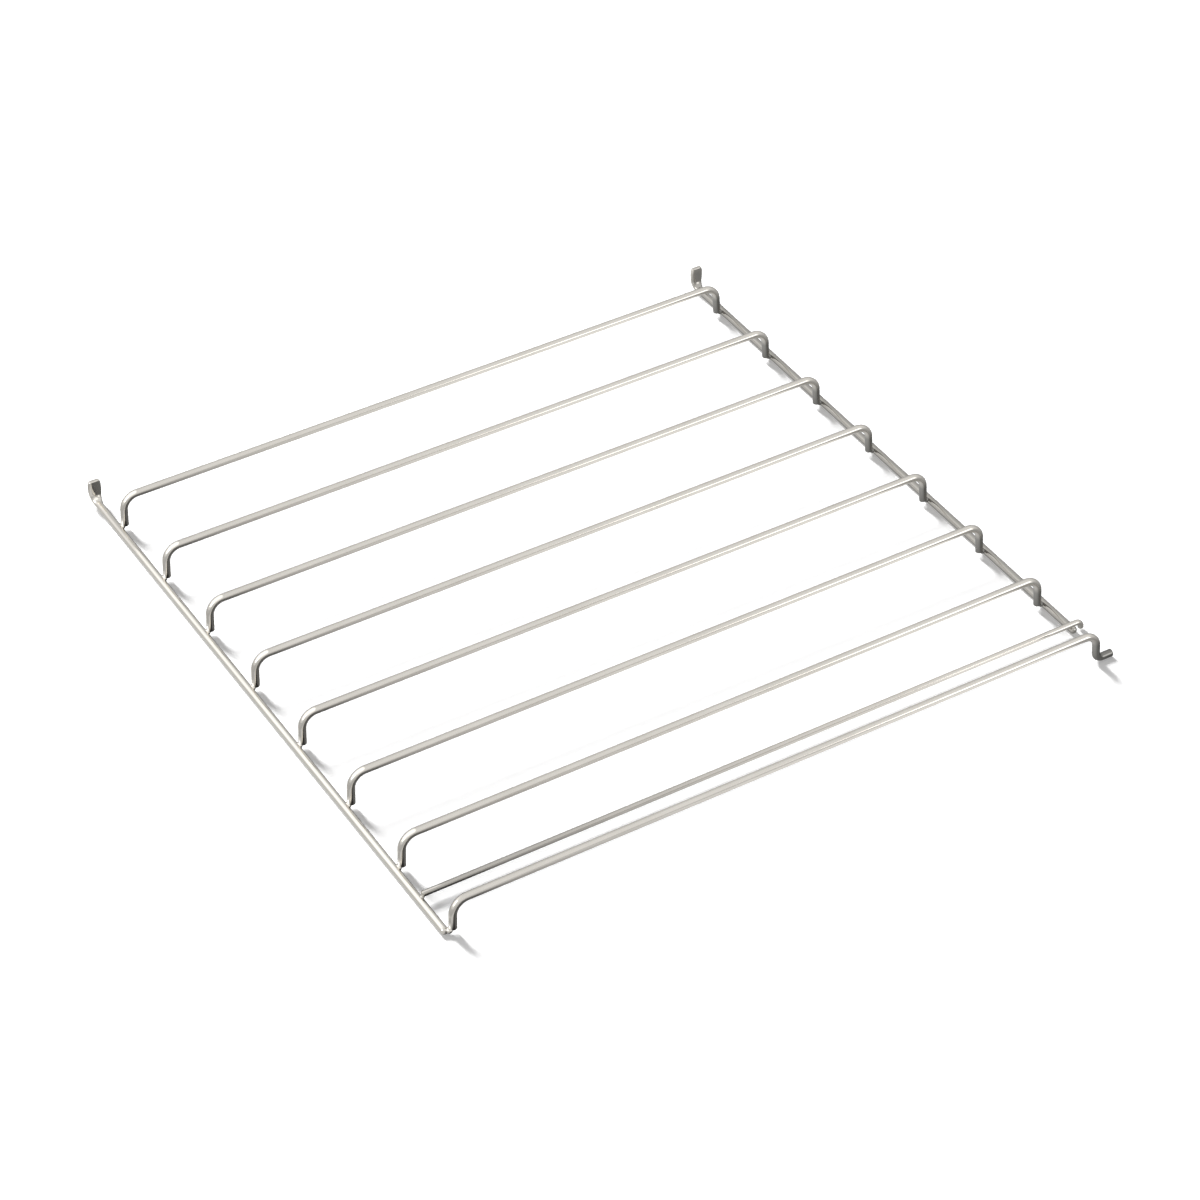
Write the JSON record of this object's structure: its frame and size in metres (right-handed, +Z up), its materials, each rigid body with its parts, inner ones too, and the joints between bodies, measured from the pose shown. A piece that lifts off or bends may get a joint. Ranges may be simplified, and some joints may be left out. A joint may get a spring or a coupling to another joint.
{
  "type": "oven shelf runner assembly",
  "caption": "Flat welded wire rack for an oven side wall: rails with hooked tips carry raised U-shaped shelf runners, a thin cross bar and a bottom bar with an outward foot.",
  "frame": {"origin": "middle of the rack's outer box, on the floor that the rails lie on", "axes": "+X along the runners, +Y along the rails towards the hooked ends, +Z up, the side the runners stand out to"},
  "size_m": [0.3758, 0.3793, 0.022],
  "materials": {
    "wire": "bright nickel-chrome plated steel wire"
  },
  "bodies": {
    "root": {"left_rail": "wire", "right_rail": "wire", "runner_1": "wire", "runner_2": "wire", "runner_3": "wire", "runner_4": "wire", "runner_5": "wire", "runner_6": "wire", "runner_7": "wire", "cross_bar": "wire", "bottom_bar": "wire"}
  },
  "joints": []
}
